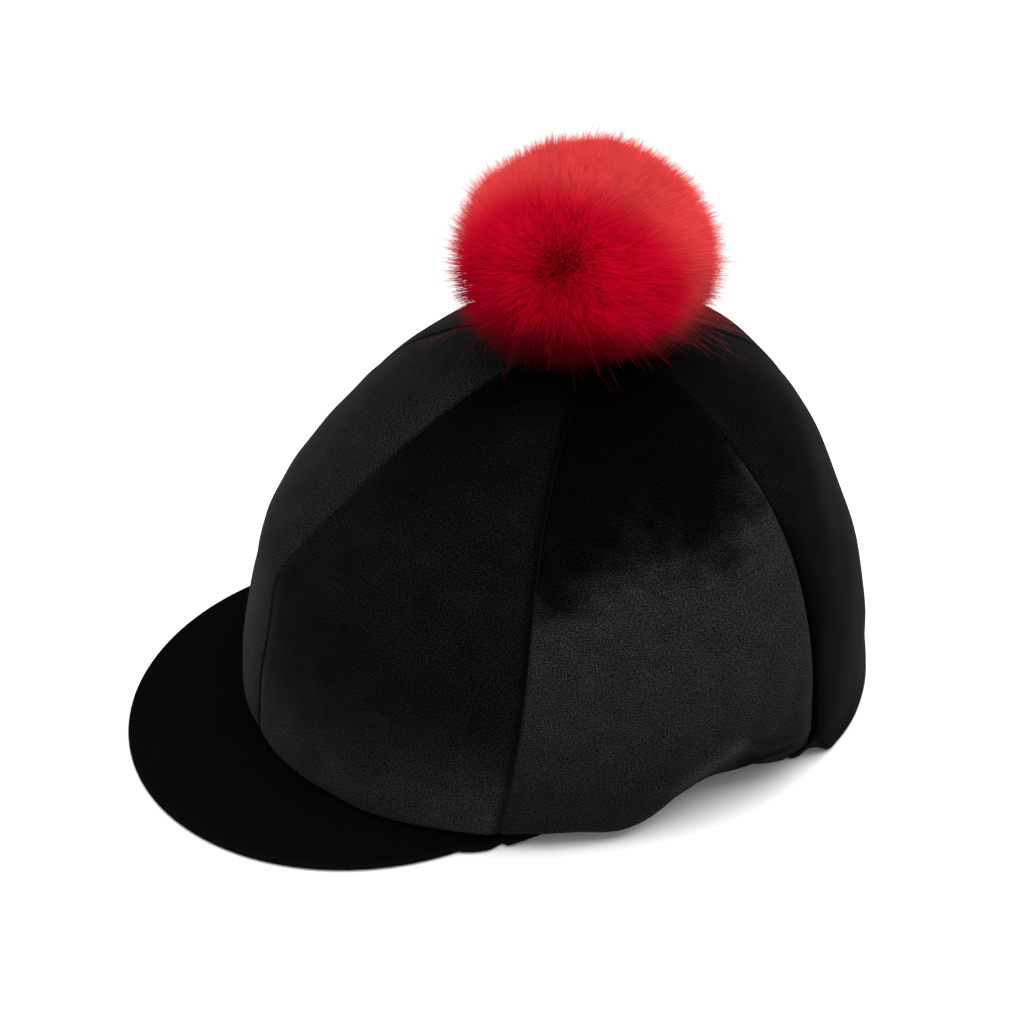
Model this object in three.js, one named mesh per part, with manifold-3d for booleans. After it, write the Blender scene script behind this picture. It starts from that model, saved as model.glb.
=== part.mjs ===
// A riding hat: a deep crown of six stretch-velvet panels, a stiff velvet-covered peak, a turned-under
// elastic hem and a fur pompom. It rests on the peak's front edge and on the back of its rim.
// Millimetres, +Z up, the front towards -Y and the wearer's left towards +X.
import * as THREE from "three";
import { mergeVertices } from "three/addons/utils/BufferGeometryUtils.js";
import Module from "manifold-3d";

const wasm = await Module();
wasm.setup();

// The crown, measured from the upright line through its top: how far it reaches each way, and its height.
const FRONT_REACH = 165;
const BACK_REACH = 119;
const SIDE_REACH = 125;
const CROWN_HEIGHT = 178;
const WALL = 2;
const GAP = 0.3;

// The crown is fuller than an ellipsoid in four places. Each swell adds a share of the reach around a latitude.
const SWELLS = {
  front: { rise: 0.03, latitude: 30, spread: 16 },
  side: { rise: 0.14, latitude: 50, spread: 27 },
  back: { rise: 0.07, latitude: 58, spread: 17 },
  brow: { rise: 0.058, latitude: 34, spread: 8 },
};
const BROW_AZIMUTH_SPREAD = 25;

// The seams in degrees round from the front, with the most that each bows sideways half way up.
const SEAMS = {
  centreFront: { azimuth: 0, bow: 0 },
  sideFront: { azimuth: 46.5, bow: 4.3 },
  sideBack: { azimuth: 114.7, bow: 0 },
  centreBack: { azimuth: 180, bow: 0 },
};

// The rim, by degrees round from the front. The wall leaves the crown's form at the crease, falls to its lower
// edge, rolls under, and runs to the hem. Insets are from the crown's form, and over the ear the cloth pulls in.
const RIM = [
  { azimuth: 0, creaseUp: 13, edgeIn: 0, edgeUp: 7.5, roll: 4, hemIn: 14, hemUp: 7.5 },
  { azimuth: 46, creaseUp: 13, edgeIn: 0, edgeUp: 7.5, roll: 4, hemIn: 14, hemUp: 7.5 },
  { azimuth: 52, creaseUp: 14, edgeIn: 0, edgeUp: 9, roll: 4, hemIn: 14, hemUp: 8 },
  { azimuth: 60, creaseUp: 14, edgeIn: 0, edgeUp: 8.5, roll: 5, hemIn: 14, hemUp: 8 },
  { azimuth: 68, creaseUp: 15, edgeIn: 0.5, edgeUp: 5.5, roll: 5, hemIn: 15, hemUp: 7 },
  { azimuth: 76, creaseUp: 20, edgeIn: 6, edgeUp: 6.5, roll: 5, hemIn: 19, hemUp: 7 },
  { azimuth: 82, creaseUp: 26, edgeIn: 12, edgeUp: 8, roll: 5, hemIn: 24, hemUp: 7 },
  { azimuth: 90, creaseUp: 35, edgeIn: 14.5, edgeUp: 9.5, roll: 5, hemIn: 26, hemUp: 7.5 },
  { azimuth: 95, creaseUp: 38, edgeIn: 13, edgeUp: 11.5, roll: 4, hemIn: 24, hemUp: 7.5 },
  { azimuth: 100, creaseUp: 31, edgeIn: 2.5, edgeUp: 23.5, roll: 3, hemIn: 18, hemUp: 6 },
  { azimuth: 106, creaseUp: 28.5, edgeIn: 1, edgeUp: 22.5, roll: 3, hemIn: 14.5, hemUp: 4 },
  { azimuth: 111, creaseUp: 25.5, edgeIn: 1, edgeUp: 19.5, roll: 3, hemIn: 12, hemUp: 2.2 },
  { azimuth: 115, creaseUp: 22.5, edgeIn: 1, edgeUp: 15, roll: 3, hemIn: 9, hemUp: 0.8 },
  { azimuth: 121, creaseUp: 12, edgeIn: 0, edgeUp: 0, roll: 3, hemIn: 12, hemUp: 0 },
  { azimuth: 180, creaseUp: 12, edgeIn: 0, edgeUp: 0, roll: 3, hemIn: 12, hemUp: 0 },
];
const HEM_WIDTH = 16;
const HEM_THICKNESS = 3;

// The peak: a thin blade under the front of the rim, its outer edge half an ellipse.
const PEAK_DEPTH = 55;
const PEAK_HALF_WIDTH = 97;
const PEAK_LENGTH = 109;
const PEAK_THICKNESS = 3.2;
const PEAK_EDGE_ROUND = 1;
const PEAK_SIDE_LIFT = 0.7;
const PEAK_ARCH = 1;
const PEAK_ROOT_IN = 10;
const PEAK_MEETS_RIM = 46.5;
const PEAK_TAIL_END = 56;
const PEAK_TAIL_IN = 8;
const PEAK_TAIL_LIFT = 3;

// The pompom, a ball of fur seated on the crown's top.
const POMPOM_RADIUS = 54;
const POMPOM_FORWARD = 8.4;
const POMPOM_UP = 223.4;
const POMPOM_SAG = 0.98;

// How finely each surface is divided.
const PANEL_COLUMNS = 12;
const DOME_ROWS = 12;
const FACET_ROWS = 2;
const ROLL_ROWS = 4;
const PEAK_STEPS = 28;
const PEAK_ROWS = 4;
const TOP_LATITUDE = 88.8;

const rad = THREE.MathUtils.degToRad;
const bump = (value, swell) => swell.rise * Math.exp(-(((value - swell.latitude) / swell.spread) ** 2));

// Degrees from the front, 0 to 180, whichever side.
function fromFront(azimuth) {
  return Math.abs(THREE.MathUtils.euclideanModulo(azimuth + 180, 360) - 180);
}

// The crown form's distance from its upright line.
function formRadius(azimuth, latitude) {
  const round = fromFront(azimuth);
  const along = Math.cos(rad(round));
  const across = Math.sin(rad(round));
  const reach = along > 0 ? FRONT_REACH : BACK_REACH;
  const plan = 1 / Math.hypot(along / reach, across / SIDE_REACH);
  const lengthwise = bump(latitude, along > 0 ? SWELLS.front : SWELLS.back) * along ** 2;
  const sideways = bump(latitude, SWELLS.side) * across ** 2;
  const brow = bump(latitude, SWELLS.brow) * Math.exp(-((round / BROW_AZIMUTH_SPREAD) ** 2));
  return plan * Math.cos(rad(latitude)) * (1 + lengthwise + sideways + brow);
}

const latitudeAt = (height) => THREE.MathUtils.radToDeg(Math.asin(height / CROWN_HEIGHT));

// A smooth value between a table's rows that never passes beyond them.
function fromTable(rows, column, azimuth) {
  const next = Math.max(1, rows.findIndex((row) => row.azimuth >= azimuth));
  const [low, high] = [rows[next - 1], rows[next]];
  const slope = (i) =>
    i < 1 || i >= rows.length
      ? 0
      : (rows[i][column] - rows[i - 1][column]) / (rows[i].azimuth - rows[i - 1].azimuth);
  const tangent = (i) => {
    const [before, after] = [slope(i), slope(i + 1)];
    return before * after <= 0 ? 0 : (2 * before * after) / (before + after);
  };
  const span = high.azimuth - low.azimuth;
  const s = (azimuth - low.azimuth) / span;
  return (
    low[column] * (1 + 2 * s) * (1 - s) ** 2 +
    high[column] * s * s * (3 - 2 * s) +
    span * (tangent(next - 1) * s * (1 - s) ** 2 - tangent(next) * s * s * (1 - s))
  );
}

function rimAt(azimuth) {
  const round = fromFront(azimuth);
  const at = (column) => fromTable(RIM, column, round);
  const edgeUp = at("edgeUp");
  const hemUp = at("hemUp");
  return {
    creaseUp: at("creaseUp"),
    edge: new THREE.Vector2(formRadius(azimuth, latitudeAt(edgeUp)) - at("edgeIn"), edgeUp),
    hem: new THREE.Vector2(formRadius(azimuth, 0) - at("hemIn"), hemUp),
    roll: at("roll"),
  };
}

// The outside of the cloth from the crown's top down to the hem, as distances out and heights.
function outsideProfile(azimuth) {
  const { creaseUp, edge, hem, roll } = rimAt(azimuth);
  const crease = latitudeAt(creaseUp);
  const points = [];
  for (let row = 0; row <= DOME_ROWS; row++) {
    const latitude = THREE.MathUtils.lerp(TOP_LATITUDE, crease, row / DOME_ROWS);
    const up = CROWN_HEIGHT * Math.sin(rad(latitude));
    points.push(new THREE.Vector2(formRadius(azimuth, latitude), up));
  }
  const fold = points[DOME_ROWS];
  const towards = (target) => target.clone().sub(edge).setLength(roll).add(edge);
  const rollStart = towards(fold);
  const rollEnd = towards(hem);
  for (let row = 1; row < FACET_ROWS; row++) points.push(fold.clone().lerp(rollStart, row / FACET_ROWS));
  points.push(...new THREE.QuadraticBezierCurve(rollStart, edge, rollEnd).getPoints(ROLL_ROWS));
  points.push(hem);
  return points;
}

const place = (azimuth, distance, height) =>
  new THREE.Vector3(distance * Math.sin(rad(azimuth)), -distance * Math.cos(rad(azimuth)), height);

// A closed body from two matching grids of points: a skin that faces outwards and a lining behind it.
function shell(skin, lining) {
  const rows = skin.length;
  const columns = skin[0].length;
  const points = [...skin.flat(), ...lining.flat()];
  const at = (side, row, column) => side * rows * columns + row * columns + column;
  const index = [];
  const quad = (a, b, c, d) => index.push(a, b, c, a, c, d);
  for (let row = 1; row < rows; row++) {
    for (let column = 1; column < columns; column++) {
      const corner = (side, down, left) => at(side, row - down, column - left);
      quad(corner(0, 1, 1), corner(0, 0, 1), corner(0, 0, 0), corner(0, 1, 0));
      quad(corner(1, 1, 1), corner(1, 1, 0), corner(1, 0, 0), corner(1, 0, 1));
    }
    const last = columns - 1;
    quad(at(0, row, 0), at(0, row - 1, 0), at(1, row - 1, 0), at(1, row, 0));
    quad(at(0, row - 1, last), at(0, row, last), at(1, row, last), at(1, row - 1, last));
  }
  for (let column = 1; column < columns; column++) {
    const last = rows - 1;
    quad(at(0, 0, column - 1), at(0, 0, column), at(1, 0, column), at(1, 0, column - 1));
    quad(at(0, last, column), at(0, last, column - 1), at(1, last, column - 1), at(1, last, column));
  }
  return new THREE.BufferGeometry().setFromPoints(points).setIndex(index);
}

// Where a seam runs at a share of the crown's height, on the left for side 1 and on the right for side -1.
function seamAzimuth(seam, side, heightShare) {
  return side * (seam.azimuth + seam.bow * Math.sin(Math.PI * heightShare));
}

// A crown panel between two seams. Each row keeps half a gap clear of its seams.
function panelGeometry(side, frontSeam, backSeam) {
  const [first, last] = side > 0 ? [frontSeam, backSeam] : [backSeam, frontSeam];
  const profileAt = (column) => {
    const share = column / PANEL_COLUMNS;
    const azimuthAt = (height, distance) => {
      const clear = THREE.MathUtils.radToDeg(GAP / 2 / distance);
      const heightShare = Math.min(1, height / CROWN_HEIGHT);
      const from = seamAzimuth(first, side, heightShare) + clear;
      const to = seamAzimuth(last, side, heightShare) - clear;
      return THREE.MathUtils.lerp(from, to, share);
    };
    // A row's azimuth follows the seams at its own height, and its distance is read at that azimuth.
    return outsideProfile(azimuthAt(0, SIDE_REACH)).map((point, row) => {
      const azimuth = azimuthAt(point.y, point.x);
      const here = outsideProfile(azimuth)[row];
      return place(azimuth, here.x, here.y);
    });
  };
  // One column more at each side gives the cloth's slope at the seams.
  const columns = [];
  for (let column = -1; column <= PANEL_COLUMNS + 1; column++) columns.push(profileAt(column));
  const hemRow = columns[0].length - 1;
  const upright = new THREE.Vector3(0, 0, WALL);
  const skin = [];
  const lining = [];
  for (let row = 0; row <= hemRow; row++) {
    skin.push([]);
    lining.push([]);
    for (let column = 1; column <= PANEL_COLUMNS + 1; column++) {
      const here = columns[column][row];
      const sideways = columns[column + 1][row].clone().sub(columns[column - 1][row]);
      const downwards = columns[column][Math.min(hemRow, row + 1)].clone();
      downwards.sub(columns[column][Math.max(0, row - 1)]);
      const through = row === hemRow ? upright : sideways.cross(downwards).setLength(WALL);
      skin[row].push(here);
      lining[row].push(here.clone().add(through));
    }
  }
  return shell(skin, lining);
}

// A closed ring or strip from a loop of points at each step along it; a strip is capped at both ends.
function sweep(sections, isRing) {
  const count = sections[0].length;
  const index = [];
  const steps = isRing ? sections.length : sections.length - 1;
  for (let step = 0; step < steps; step++) {
    const next = (step + 1) % sections.length;
    for (let i = 0; i < count; i++) {
      const j = (i + 1) % count;
      const [a, b, c, d] = [step * count + i, step * count + j, next * count + j, next * count + i];
      index.push(a, d, c, a, c, b);
    }
  }
  if (!isRing) {
    const end = steps * count;
    for (let i = 1; i < count - 1; i++) index.push(0, i, i + 1, end, end + i + 1, end + i);
  }
  return new THREE.BufferGeometry().setFromPoints(sections.flat()).setIndex(index);
}

// The azimuths of the panels' columns at the rim, once round.
function rimAzimuths() {
  const seams = Object.values(SEAMS).map((seam) => seam.azimuth);
  const shares = Array.from({ length: PANEL_COLUMNS }, (_, column) => column / PANEL_COLUMNS);
  const left = seams
    .slice(1)
    .flatMap((end, i) => shares.map((share) => THREE.MathUtils.lerp(seams[i], end, share)));
  const right = left.slice(1).map((azimuth) => 360 - azimuth);
  return [...left, 180, ...right.toReversed()];
}

// The hem's casing: a flat folded band with round edges, just inside the panels' turned-under cloth.
function hemGeometry() {
  const half = HEM_THICKNESS / 2;
  const section = [
    [0, half],
    [half, HEM_THICKNESS],
    [HEM_WIDTH - half, HEM_THICKNESS],
    [HEM_WIDTH, half],
    [HEM_WIDTH - half, 0],
    [half, 0],
  ];
  const sections = rimAzimuths().map((azimuth) => {
    const { hem } = rimAt(azimuth);
    return section.map(([inwards, up]) => place(azimuth, hem.x - GAP - inwards, hem.y + up));
  });
  return sweep(sections, true);
}

// How far the peak's outer edge lies from the crown's line.
function peakReach(azimuth) {
  const round = fromFront(azimuth);
  const rim = formRadius(azimuth, 0);
  const centre = FRONT_REACH + PEAK_DEPTH - PEAK_LENGTH;
  const cornerAzimuth = THREE.MathUtils.radToDeg(Math.atan2(PEAK_HALF_WIDTH, centre));
  if (round <= cornerAzimuth) {
    const along = Math.cos(rad(round));
    const across = Math.sin(rad(round));
    const a = (along / PEAK_LENGTH) ** 2 + (across / PEAK_HALF_WIDTH) ** 2;
    const b = (along * centre) / PEAK_LENGTH ** 2;
    const c = (centre / PEAK_LENGTH) ** 2 - 1;
    return (b + Math.sqrt(b * b - a * c)) / a;
  }
  if (round <= PEAK_MEETS_RIM) {
    const share = (round - cornerAzimuth) / (PEAK_MEETS_RIM - cornerAzimuth);
    const corner = Math.hypot(PEAK_HALF_WIDTH, centre);
    return THREE.MathUtils.lerp(corner, rim, share);
  }
  return rim - PEAK_TAIL_IN * ((round - PEAK_MEETS_RIM) / (PEAK_TAIL_END - PEAK_MEETS_RIM));
}

// The peak's blade, from its root under the rim to its round edge, with a short tail tucked under at each end.
function peakGeometry() {
  const rootUp = RIM[0].edgeUp - GAP;
  const sections = [];
  for (let step = 0; step <= PEAK_STEPS; step++) {
    const azimuth = THREE.MathUtils.lerp(-PEAK_TAIL_END, PEAK_TAIL_END, step / PEAK_STEPS);
    const round = fromFront(azimuth);
    const root = formRadius(azimuth, 0) - PEAK_ROOT_IN;
    const reach = peakReach(azimuth);
    const tail = THREE.MathUtils.smoothstep(round, PEAK_MEETS_RIM, PEAK_TAIL_END);
    const lift = PEAK_SIDE_LIFT * Math.sin(rad(Math.min(90, (90 * round) / PEAK_MEETS_RIM))) ** 2;
    const edgeUp = Math.min(rootUp - PEAK_THICKNESS, lift + tail * PEAK_TAIL_LIFT);
    const arch = PEAK_ARCH * (1 - THREE.MathUtils.smoothstep(round, 0, PEAK_MEETS_RIM));
    const underside = (share) =>
      THREE.MathUtils.lerp(rootUp - PEAK_THICKNESS, edgeUp, share) + arch * Math.sin(Math.PI * share);
    const face = (share, thickness) =>
      place(azimuth, THREE.MathUtils.lerp(root, reach - PEAK_EDGE_ROUND, share), underside(share) + thickness);
    const shares = Array.from({ length: PEAK_ROWS + 1 }, (_, row) => row / PEAK_ROWS);
    sections.push([
      ...shares.map((share) => face(share, 0)),
      place(azimuth, reach, edgeUp + PEAK_THICKNESS / 2),
      ...shares.toReversed().map((share) => face(share, PEAK_THICKNESS)),
    ]);
  }
  return sweep(sections, false);
}

function solidFrom(geometry) {
  const bare = new THREE.BufferGeometry()
    .setAttribute("position", geometry.getAttribute("position"))
    .setIndex(geometry.getIndex());
  const merged = mergeVertices(bare, 1e-3);
  return new wasm.Manifold(
    new wasm.Mesh({
      numProp: 3,
      vertProperties: new Float32Array(merged.attributes.position.array),
      triVerts: new Uint32Array(merged.index.array),
    }),
  );
}

function geometryFrom(solid) {
  const { vertProperties, triVerts } = solid.getMesh();
  return new THREE.BufferGeometry()
    .setAttribute("position", new THREE.BufferAttribute(vertProperties, 3))
    .setIndex(new THREE.BufferAttribute(triVerts, 1));
}

// The crown's top as a solid cap, a gap larger all round, which shapes the pompom's underside.
function crownCap() {
  const [steps, rows, lowest] = [48, 10, 45];
  const points = [place(0, 0, CROWN_HEIGHT + GAP), place(0, 0, 0)];
  const index = [];
  for (let row = 1; row <= rows; row++) {
    for (let step = 0; step < steps; step++) {
      const azimuth = (360 * step) / steps;
      const latitude = THREE.MathUtils.lerp(90, lowest, row / rows);
      const up = CROWN_HEIGHT * Math.sin(rad(latitude)) + GAP;
      points.push(place(azimuth, formRadius(azimuth, latitude) + GAP, up));
    }
  }
  for (let step = 0; step < steps; step++) {
    const next = (step + 1) % steps;
    const at = (row, i) => 2 + (row - 1) * steps + i;
    index.push(0, at(1, step), at(1, next), 1, at(rows, next), at(rows, step));
    for (let row = 1; row < rows; row++) {
      const [a, b, c, d] = [at(row, step), at(row + 1, step), at(row + 1, next), at(row, next)];
      index.push(a, b, c, a, c, d);
    }
  }
  return new THREE.BufferGeometry().setFromPoints(points).setIndex(index);
}

// The pompom's outer form, hollowed beneath where it sits on the crown.
function pompomGeometry() {
  const ball = new THREE.SphereGeometry(POMPOM_RADIUS, 32, 20);
  ball.rotateX(Math.PI / 2);
  ball.scale(1, 1, POMPOM_SAG);
  ball.translate(0, -POMPOM_FORWARD, POMPOM_UP);
  return geometryFrom(solidFrom(ball).subtract(solidFrom(crownCap())));
}

const panelVelvet = new THREE.MeshStandardMaterial({ color: 0x17171a, roughness: 0.9, metalness: 0 });
const peakVelvet = new THREE.MeshStandardMaterial({ color: 0x08080a, roughness: 1, metalness: 0 });
const hemVelvet = new THREE.MeshStandardMaterial({ color: 0x101013, roughness: 0.95, metalness: 0 });
const redFur = new THREE.MeshStandardMaterial({ color: 0xc4142a, roughness: 0.8, metalness: 0 });

// The crown's line stands behind the middle, so that the whole hat is centred over the origin.
const hat = new THREE.Group();
hat.position.y = (FRONT_REACH + PEAK_DEPTH - BACK_REACH) / 2;

function addPiece(name, geometry, material) {
  const piece = new THREE.Mesh(geometry, material);
  piece.name = name;
  hat.add(piece);
}

for (const [sideName, side] of [["left", 1], ["right", -1]]) {
  const { centreFront, sideFront, sideBack, centreBack } = SEAMS;
  addPiece(`panel_front_${sideName}`, panelGeometry(side, centreFront, sideFront), panelVelvet);
  addPiece(`panel_side_${sideName}`, panelGeometry(side, sideFront, sideBack), panelVelvet);
  addPiece(`panel_back_${sideName}`, panelGeometry(side, sideBack, centreBack), panelVelvet);
}
addPiece("hem_band", hemGeometry(), hemVelvet);
addPiece("peak", peakGeometry(), peakVelvet);
addPiece("pompom", pompomGeometry(), redFur);

const root = new THREE.Group();
root.add(hat);
export default root;
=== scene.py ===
import bpy
import numpy as np
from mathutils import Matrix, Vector


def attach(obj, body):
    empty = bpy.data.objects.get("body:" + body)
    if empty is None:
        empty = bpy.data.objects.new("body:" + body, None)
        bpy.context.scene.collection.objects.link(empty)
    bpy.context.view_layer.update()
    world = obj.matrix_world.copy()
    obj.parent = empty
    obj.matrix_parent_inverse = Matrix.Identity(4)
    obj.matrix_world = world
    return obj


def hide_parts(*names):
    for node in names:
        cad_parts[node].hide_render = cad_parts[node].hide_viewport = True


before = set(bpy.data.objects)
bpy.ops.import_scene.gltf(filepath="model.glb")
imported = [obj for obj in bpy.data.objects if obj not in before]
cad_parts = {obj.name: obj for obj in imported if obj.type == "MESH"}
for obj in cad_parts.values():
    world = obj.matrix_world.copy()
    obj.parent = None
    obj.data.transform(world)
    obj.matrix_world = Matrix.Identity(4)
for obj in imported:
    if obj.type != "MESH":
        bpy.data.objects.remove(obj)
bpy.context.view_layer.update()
scene = bpy.context.scene

# The table, the light and the camera
# The hat stands on a wide pale table in a tent of white cloth, which lights it softly from all round.
# One very large soft lamp hangs over it, a little to its left, so that shadows stay close beneath.
TABLE_SIZE = 9.0
TENT_COLOUR = (1.0, 1.0, 1.0, 1)
TENT_STRENGTH = 0.75
LAMP_PLACE = Vector((0.05, 0.35, 2.0))
LAMP_AIM = Vector((0, 0, 0.15))
LAMP_SIZE = 2.4
LAMP_WATTS = 80
CAMERA_PLACE = Vector((1.02837, -0.45114, 1.07040))
CAMERA_AIM = Vector((0.048206, -0.013649, 0.137504))
CAMERA_LENS = 120.99
SENSOR_WIDTH = 36


def new_material(name):
    """A material with node links, its Principled BSDF and its node tree."""
    material = bpy.data.materials.new(name)
    material.use_nodes = True
    tree = material.node_tree
    return material, tree, tree.nodes["Principled BSDF"]


def put(tree, kind, wires=(), **settings):
    """Adds a node: wires fills its inputs, by name or number, with values or other nodes' outputs."""
    node = tree.nodes.new(kind)
    for key, value in settings.items():
        setattr(node, key, value)
    for key, value in dict(wires).items():
        if isinstance(value, bpy.types.NodeSocket):
            tree.links.new(value, node.inputs[key])
        else:
            node.inputs[key].default_value = value
    return node


table_material, table_tree, table_shader = new_material("table_paper")
table_grain = put(table_tree, "ShaderNodeTexNoise", {"Scale": 3.0, "Detail": 2.0}).outputs["Fac"]
table_tone = put(table_tree, "ShaderNodeMapRange", {"Value": table_grain, "To Min": 0.82, "To Max": 0.83})
table_tree.links.new(table_tone.outputs["Result"], table_shader.inputs["Base Color"])
table_shader.inputs["Roughness"].default_value = 1.0
table_shader.inputs["Specular IOR Level"].default_value = 0.0

bpy.ops.mesh.primitive_plane_add(size=TABLE_SIZE)
table = bpy.context.object
table.name = "table_top"
table.data.materials.append(table_material)

tent = bpy.data.worlds.new("white_tent")
tent.use_nodes = True
tent.node_tree.nodes["Background"].inputs["Color"].default_value = TENT_COLOUR
tent.node_tree.nodes["Background"].inputs["Strength"].default_value = TENT_STRENGTH
scene.world = tent

light = bpy.data.lights.new("overhead_lamp", "AREA")
light.size = LAMP_SIZE
light.energy = LAMP_WATTS
lamp = bpy.data.objects.new("overhead_lamp", light)
lamp.location = LAMP_PLACE
lamp.rotation_euler = (LAMP_AIM - LAMP_PLACE).to_track_quat("-Z", "Y").to_euler()
scene.collection.objects.link(lamp)

camera = bpy.data.objects.new("camera", bpy.data.cameras.new("camera"))
camera.location = CAMERA_PLACE
camera.rotation_euler = (CAMERA_AIM - CAMERA_PLACE).to_track_quat("-Z", "Y").to_euler()
camera.data.lens = CAMERA_LENS
camera.data.sensor_width = SENSOR_WIDTH
scene.collection.objects.link(camera)
scene.camera = camera
scene.view_settings.view_transform = "Standard"

# The crown panels
# Six wedges of black stretch velvet, sewn edge to edge with their allowances turned in, over a skull form.
# Each wraps round the rim to the hem underneath. Over the ears the cloth is pulled in to a crease.
MM = 0.001
FRONT_REACH = 165
BACK_REACH = 119
SIDE_REACH = 125
CROWN_HEIGHT = 178
PEAK_DEPTH = 55
CROWN_LINE_BACK = (FRONT_REACH + PEAK_DEPTH - BACK_REACH) / 2
TOP_LATITUDE = 88.8
SWELLS = {
    "front": (0.03, 30, 16),
    "side": (0.14, 50, 27),
    "back": (0.07, 58, 17),
    "brow": (0.058, 34, 8),
}
BROW_AZIMUTH_SPREAD = 25
RIM_COLUMNS = ("azimuth", "crease_up", "edge_in", "edge_up", "roll", "hem_in", "hem_up")
RIM = (
    (0, 13, 0, 7.5, 4, 14, 7.5),
    (46, 13, 0, 7.5, 4, 14, 7.5),
    (52, 14, 0, 9, 4, 14, 8),
    (60, 14, 0, 8.5, 5, 14, 8),
    (68, 15, 0.5, 5.5, 5, 15, 7),
    (76, 20, 6, 6.5, 5, 19, 7),
    (82, 26, 12, 10, 5, 24, 7),
    (90, 35, 14.5, 13, 5, 26, 7.5),
    (95, 38, 13, 13.5, 4, 24, 7.5),
    (100, 31, 2.5, 23.5, 3, 18, 8.5),
    (106, 28.5, 1, 22.5, 3, 14.5, 5),
    (111, 25.5, 1, 19.5, 3, 12, 2.2),
    (115, 22.5, 1, 15, 3, 9, 0.8),
    (121, 12, -0.5, 0, 3, 12, 0),
    (140, 12, -2, 0, 3, 12, 0),
    (180, 12, 0, 0, 3, 12, 0),
)
# Each seam's degrees round from the front, and the most that it bows sideways half way up.
SEAMS = {
    "centre_front": (0, 0),
    "side_front": (46.5, 4.3),
    "side_back": (114.7, 0),
    "centre_back": (180, 0),
}
HOOK_DEGREES = 3.0
HOOK_HEIGHT = 26
CLOTH_WALL = 1.1
SEAM_GAP = 0.1
SEAM_ROUND = 2.0
SEAM_ALLOWANCE = 3.5
FULL_SEAM_WIDTH = 22
# Each seam draws the cloth in, less towards the top and deepest at the foot of the side back one.
SEAM_DIP = 0.8
SEAM_DIP_WIDTH = 4.5
SHALLOWER_BY = 0.7
SHALLOWER_HEIGHTS = (100, 150)
HOLLOW_DEPTH = 1.6
HOLLOW_TOP = 80
HOLLOW_FADE = 60
SLACK = 0.4
SLACK_SEED = 11
SLACK_WAVES = 14
SLACK_LENGTHS = (22, 75)
# Along the side panel, the height up to which its pile is brushed towards the light, below which it is
# painted lighter as sheen.
BRUSHED_SHEEN = {"azimuth": (48, 58, 66, 76, 86, 99, 112, 120), "up_to": (121, 124, 132, 136, 132, 132, 148, 170)}
LOW_HEIGHTS = (15, 80)
HIGH_HEIGHTS = (120, 168)
CRUSH_EVERYWHERE = 0.07
CRUSH_AT_BRUSHED_EDGE = 0.16
PATCH_SEED = 5
PATCH_WAVES = 24
PATCH_LENGTHS = (9, 34)
DOME_ROWS = 80
FACET_ROWS = 7
ROLL_ROWS = 9
FLAP_ROWS = 6
PANEL_COLUMNS = 52
SEAM_EDGE_POINTS = 6
FITTING_ROUNDS = 3
SOFTENING_ROUNDS = 3
SOFTENED_ROWS = 4


def swell(name, latitude):
    rise, middle, spread = SWELLS[name]
    return rise * np.exp(-(((latitude - middle) / spread) ** 2))


def form_radius(azimuth, latitude):
    """How far the crown's form lies from the upright line through its top."""
    along = np.cos(np.radians(azimuth))
    across = np.sin(np.radians(azimuth))
    ahead = along > 0
    plan = 1 / np.hypot(along / np.where(ahead, FRONT_REACH, BACK_REACH), across / SIDE_REACH)
    lengthwise = np.where(ahead, swell("front", latitude), swell("back", latitude)) * along**2
    sideways = swell("side", latitude) * across**2
    round_from_front = np.abs((azimuth + 180) % 360 - 180)
    brow = swell("brow", latitude) * np.exp(-((round_from_front / BROW_AZIMUTH_SPREAD) ** 2))
    return plan * np.cos(np.radians(latitude)) * (1 + lengthwise + sideways + brow)


def latitude_at(height):
    return np.degrees(np.arcsin(height / CROWN_HEIGHT))


def rim_value(column, azimuth):
    """A smooth value between the rim table's rows that never passes beyond them."""
    rows = np.array(RIM, float)
    known = rows[:, 0]
    values = rows[:, RIM_COLUMNS.index(column)]
    slopes = np.diff(values) / np.diff(known)
    before, after = slopes[:-1], slopes[1:]
    same_way = before * after > 0
    middle = np.where(same_way, 2 * before * after / np.where(same_way, before + after, 1), 0)
    tangents = np.concatenate(([0], middle, [0]))
    round_from_front = np.abs((azimuth + 180) % 360 - 180)
    low = np.clip(np.searchsorted(known, round_from_front) - 1, 0, len(known) - 2)
    span = known[low + 1] - known[low]
    s = (round_from_front - known[low]) / span
    ends = values[low] * (1 + 2 * s) * (1 - s) ** 2 + values[low + 1] * s * s * (3 - 2 * s)
    return ends + span * (tangents[low] * s * (1 - s) ** 2 - tangents[low + 1] * s * s * (1 - s))


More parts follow.
